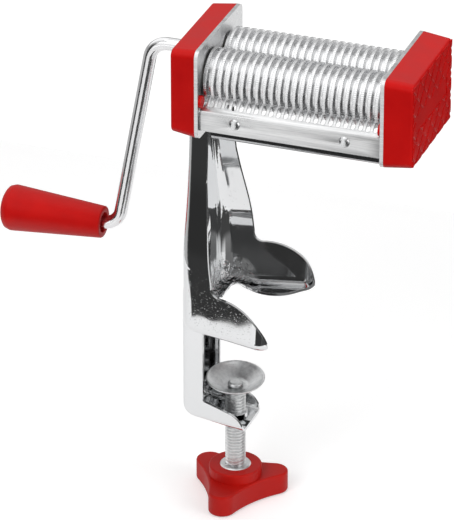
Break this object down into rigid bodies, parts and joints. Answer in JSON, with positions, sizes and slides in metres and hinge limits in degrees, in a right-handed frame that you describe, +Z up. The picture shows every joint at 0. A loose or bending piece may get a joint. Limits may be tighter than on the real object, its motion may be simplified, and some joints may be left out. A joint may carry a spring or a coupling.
{
  "type": "hand cranked noodle cutter",
  "caption": "Table clamped noodle cutter: a crank turns geared ringed rollers that cut a dough sheet into strips, above a drawn sheet stand with a screw clamp.",
  "frame": {"origin": "on the clamp screw's axis, level with the table's top, which is the underside of the stand's two feet", "axes": "+X along the rollers from the crank's end to the other cap, +Y to the back, +Z up"},
  "size_m": [0.2427, 0.0814, 0.2736],
  "materials": {
    "plated_sheet": "bright plated",
    "plated_rod": "bright plated",
    "roller_steel": "plated, finely serrated rings",
    "zinc_steel": "zinc plated",
    "gear_steel": "sintered",
    "aluminium_rivet": "satin",
    "insert_metal": "cast",
    "bush_plastic": "natural acetal",
    "red_plastic": "satin moulded"
  },
  "bodies": {
    "frame": {"clamp_stand": "plated_sheet", "stand_rivets": "plated_sheet", "left_side_plate": "plated_sheet", "right_side_plate": "plated_sheet", "left_end_cap": "red_plastic", "right_end_cap": "red_plastic", "front_comb": "plated_sheet", "rear_comb": "plated_sheet", "front_comb_rivets": "aluminium_rivet", "rear_comb_rivets": "aluminium_rivet", "front_rail": "plated_sheet", "rear_rail": "plated_sheet", "left_front_bush": "bush_plastic", "left_rear_bush": "bush_plastic", "right_front_bush": "bush_plastic", "right_rear_bush": "bush_plastic"},
    "drive_roller": {"rear_roller": "roller_steel", "rear_gear": "gear_steel", "rear_gear_clip": "zinc_steel", "crank_rod": "plated_rod", "crank_pin": "zinc_steel", "grip_clip": "zinc_steel"},
    "driven_roller": {"front_roller": "roller_steel", "front_gear": "gear_steel", "front_gear_clip": "zinc_steel"},
    "grip": {"crank_grip": "red_plastic"},
    "cup": {"pressure_cup": "zinc_steel"},
    "screw": {"clamp_screw": "zinc_steel", "knob_insert": "insert_metal", "clamp_knob": "red_plastic"}
  },
  "joints": [
    {"name": "crank_spin", "type": "hinge", "parent": "frame", "child": "drive_roller", "pos_m": [0, 0.0137, 0.143], "axis": [1, 0, 0], "continuous": true},
    {"name": "driven_spin", "type": "hinge", "parent": "frame", "child": "driven_roller", "pos_m": [0, -0.0137, 0.143], "axis": [1, 0, 0], "continuous": true},
    {"name": "grip_spin", "type": "hinge", "parent": "drive_roller", "child": "grip", "pos_m": [-0.1, 0.0137, 0.0328], "axis": [1, 0, 0], "continuous": true},
    {"name": "cup_rise", "type": "slide", "parent": "frame", "child": "cup", "axis": [0, 0, 1], "range_m": [-0.009, 0.026]},
    {"name": "screw_turn", "type": "hinge", "parent": "cup", "child": "screw", "pos_m": [0, 0, -0.09], "axis": [0, 0, 1], "range_deg": [-1700, 5150]}
  ],
  "couplings": [
    {"joint": "driven_spin", "follows": "crank_spin", "ratio": -1},
    {"joint": "cup_rise", "follows": "screw_turn", "m_per_rad": 0.0002887}
  ]
}
